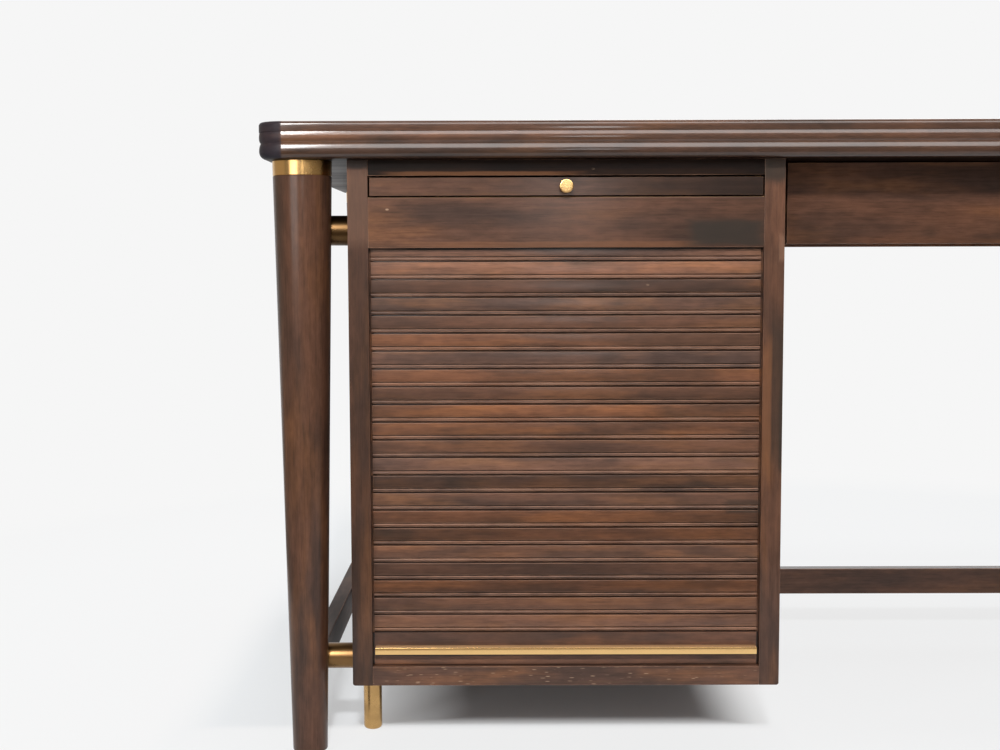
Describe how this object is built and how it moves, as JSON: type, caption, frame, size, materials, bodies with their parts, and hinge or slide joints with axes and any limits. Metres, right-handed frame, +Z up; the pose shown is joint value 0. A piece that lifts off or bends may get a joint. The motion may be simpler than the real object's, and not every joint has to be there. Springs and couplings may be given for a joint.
{
  "type": "tambour writing desk",
  "caption": "Dark wood writing desk with a reeded top edge, round tapered legs with brass collars, a tambour case with a pull-out slide, and a kneehole drawer.",
  "frame": {"origin": "on the floor, under the middle of the top", "axes": "+X to the sitter's right along the width, +Y from the sitter to the far side, +Z up"},
  "size_m": [1.4, 0.88, 0.76],
  "materials": {
    "dark_wood": "satin lacquer, stained",
    "inner_wood": "plain, waxed",
    "brass": "polished, aged",
    "steel": "plain",
    "canvas": "woven, glued"
  },
  "bodies": {
    "desk": {"desk_top": "dark_wood", "leg_front_left": "dark_wood", "leg_front_right": "dark_wood", "leg_rear_left": "dark_wood", "leg_rear_right": "dark_wood", "side_stretcher_left": "dark_wood", "side_stretcher_right": "dark_wood", "long_stretcher": "dark_wood", "case_side_left": "dark_wood", "case_side_right": "dark_wood", "case_bottom": "dark_wood", "top_rail": "dark_wood", "fascia_panel": "dark_wood", "tambour_slats": "dark_wood", "kneehole_cheek": "dark_wood", "rear_apron": "dark_wood", "case_back": "inner_wood", "dust_board": "inner_wood", "guard_top": "inner_wood", "guard_back": "inner_wood", "kicker_left": "inner_wood", "kicker_right": "inner_wood", "shelf": "inner_wood", "runner_left": "inner_wood", "runner_right": "inner_wood", "collar_front_left": "brass", "collar_front_right": "brass", "collar_rear_left": "brass", "collar_rear_right": "brass", "spacer_rod_upper_left": "brass", "spacer_rod_lower_left": "brass", "spacer_rod_upper_right": "brass", "case_foot": "brass", "shelf_pins": "brass", "tambour_canvas": "canvas"},
    "slide": {"writing_slide": "dark_wood", "slide_knob": "brass"},
    "drawer": {"drawer_front": "dark_wood", "drawer_side_left": "inner_wood", "drawer_side_right": "inner_wood", "drawer_back": "inner_wood", "drawer_bottom": "inner_wood", "drawer_knob": "brass"},
    "tambour": {"pull_slat": "dark_wood", "brass_pull": "brass", "pull_screws": "steel"}
  },
  "joints": [
    {"name": "slide_pull", "type": "slide", "parent": "desk", "child": "slide", "axis": [0, -1, 0], "range_m": [0, 0.33]},
    {"name": "drawer_pull", "type": "slide", "parent": "desk", "child": "drawer", "axis": [0, -1, 0], "range_m": [0, 0.33]},
    {"name": "tambour_lift", "type": "slide", "parent": "desk", "child": "tambour", "axis": [0, 0, 1], "range_m": [0, 0.464], "deforming": ["tambour_slats", "tambour_canvas"]}
  ]
}
